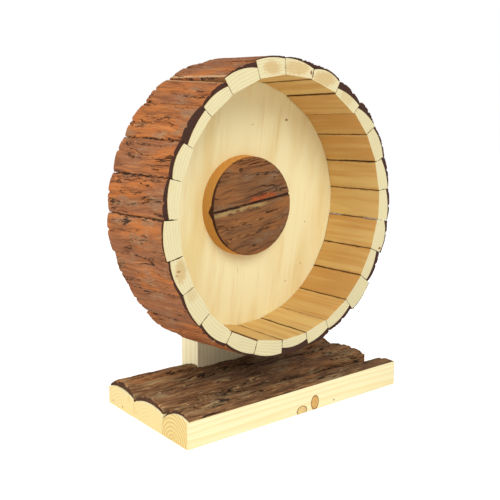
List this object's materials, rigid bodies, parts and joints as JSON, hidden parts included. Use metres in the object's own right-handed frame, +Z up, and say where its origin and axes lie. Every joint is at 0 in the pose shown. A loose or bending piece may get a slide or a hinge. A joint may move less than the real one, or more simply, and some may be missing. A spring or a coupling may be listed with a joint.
{
  "type": "rodent exercise wheel",
  "caption": "Open-fronted running drum of bark-covered staves on a plywood back, turning on a ball bearing before a post on a base of log slabs.",
  "frame": {"origin": "middle of the base's flat underside", "axes": "+Z up, +X along the base, the drum's open side faces -Y and its axle runs along Y"},
  "size_m": [0.2215, 0.105, 0.2548],
  "materials": {
    "slab_wood": "sawn softwood",
    "base_bark": "rough bark",
    "post_wood": "planed softwood",
    "stave_wood": "sawn softwood",
    "drum_bark": "rough reddish bark",
    "plywood": "sanded plywood",
    "hub_wood": "sawn softwood",
    "hub_bark": "bark with a split",
    "zinc_steel": "zinc plated",
    "bearing_steel": "ground steel",
    "nylon": "moulded nylon"
  },
  "bodies": {
    "stand": {"axle_bolt": "zinc_steel", "axle_spacer": "zinc_steel", "base_bark_back": "base_bark", "base_bark_front": "base_bark", "base_bark_middle": "base_bark", "base_slab_back": "slab_wood", "base_slab_front": "slab_wood", "base_slab_middle": "slab_wood", "bearing_inner_ring": "bearing_steel", "bolt_head_washer": "zinc_steel", "lock_nut": "zinc_steel", "lock_nut_insert": "nylon", "post": "post_wood", "post_screws": "zinc_steel", "shim_washer": "zinc_steel"},
    "wheel": {"back_disc": "plywood", "hub_cap": "hub_wood", "hub_cap_bark": "hub_bark", "stave_bark": "drum_bark", "bearing_outer_ring": "bearing_steel", "bearing_shields": "bearing_steel", "stave_01": "stave_wood", "stave_02": "stave_wood", "stave_03": "stave_wood", "stave_04": "stave_wood", "stave_05": "stave_wood", "stave_06": "stave_wood", "stave_07": "stave_wood", "stave_08": "stave_wood", "stave_09": "stave_wood", "stave_10": "stave_wood", "stave_11": "stave_wood", "stave_12": "stave_wood", "stave_13": "stave_wood", "stave_14": "stave_wood", "stave_15": "stave_wood", "stave_16": "stave_wood", "stave_17": "stave_wood", "stave_18": "stave_wood", "stave_19": "stave_wood", "stave_20": "stave_wood", "stave_21": "stave_wood", "stave_22": "stave_wood", "stave_23": "stave_wood", "stave_24": "stave_wood", "stave_25": "stave_wood"},
    "ball_cage": {"bearing_balls": "bearing_steel", "bearing_cage": "nylon"}
  },
  "joints": [
    {"name": "wheel_spin", "type": "hinge", "parent": "stand", "child": "wheel", "pos_m": [0, 0.0215, 0.145], "axis": [0, 1, 0], "continuous": true},
    {"name": "ball_cage_spin", "type": "hinge", "parent": "stand", "child": "ball_cage", "pos_m": [0, 0.0215, 0.145], "axis": [0, 1, 0], "continuous": true}
  ],
  "couplings": [
    {"joint": "ball_cage_spin", "follows": "wheel_spin", "ratio": 0.64}
  ]
}
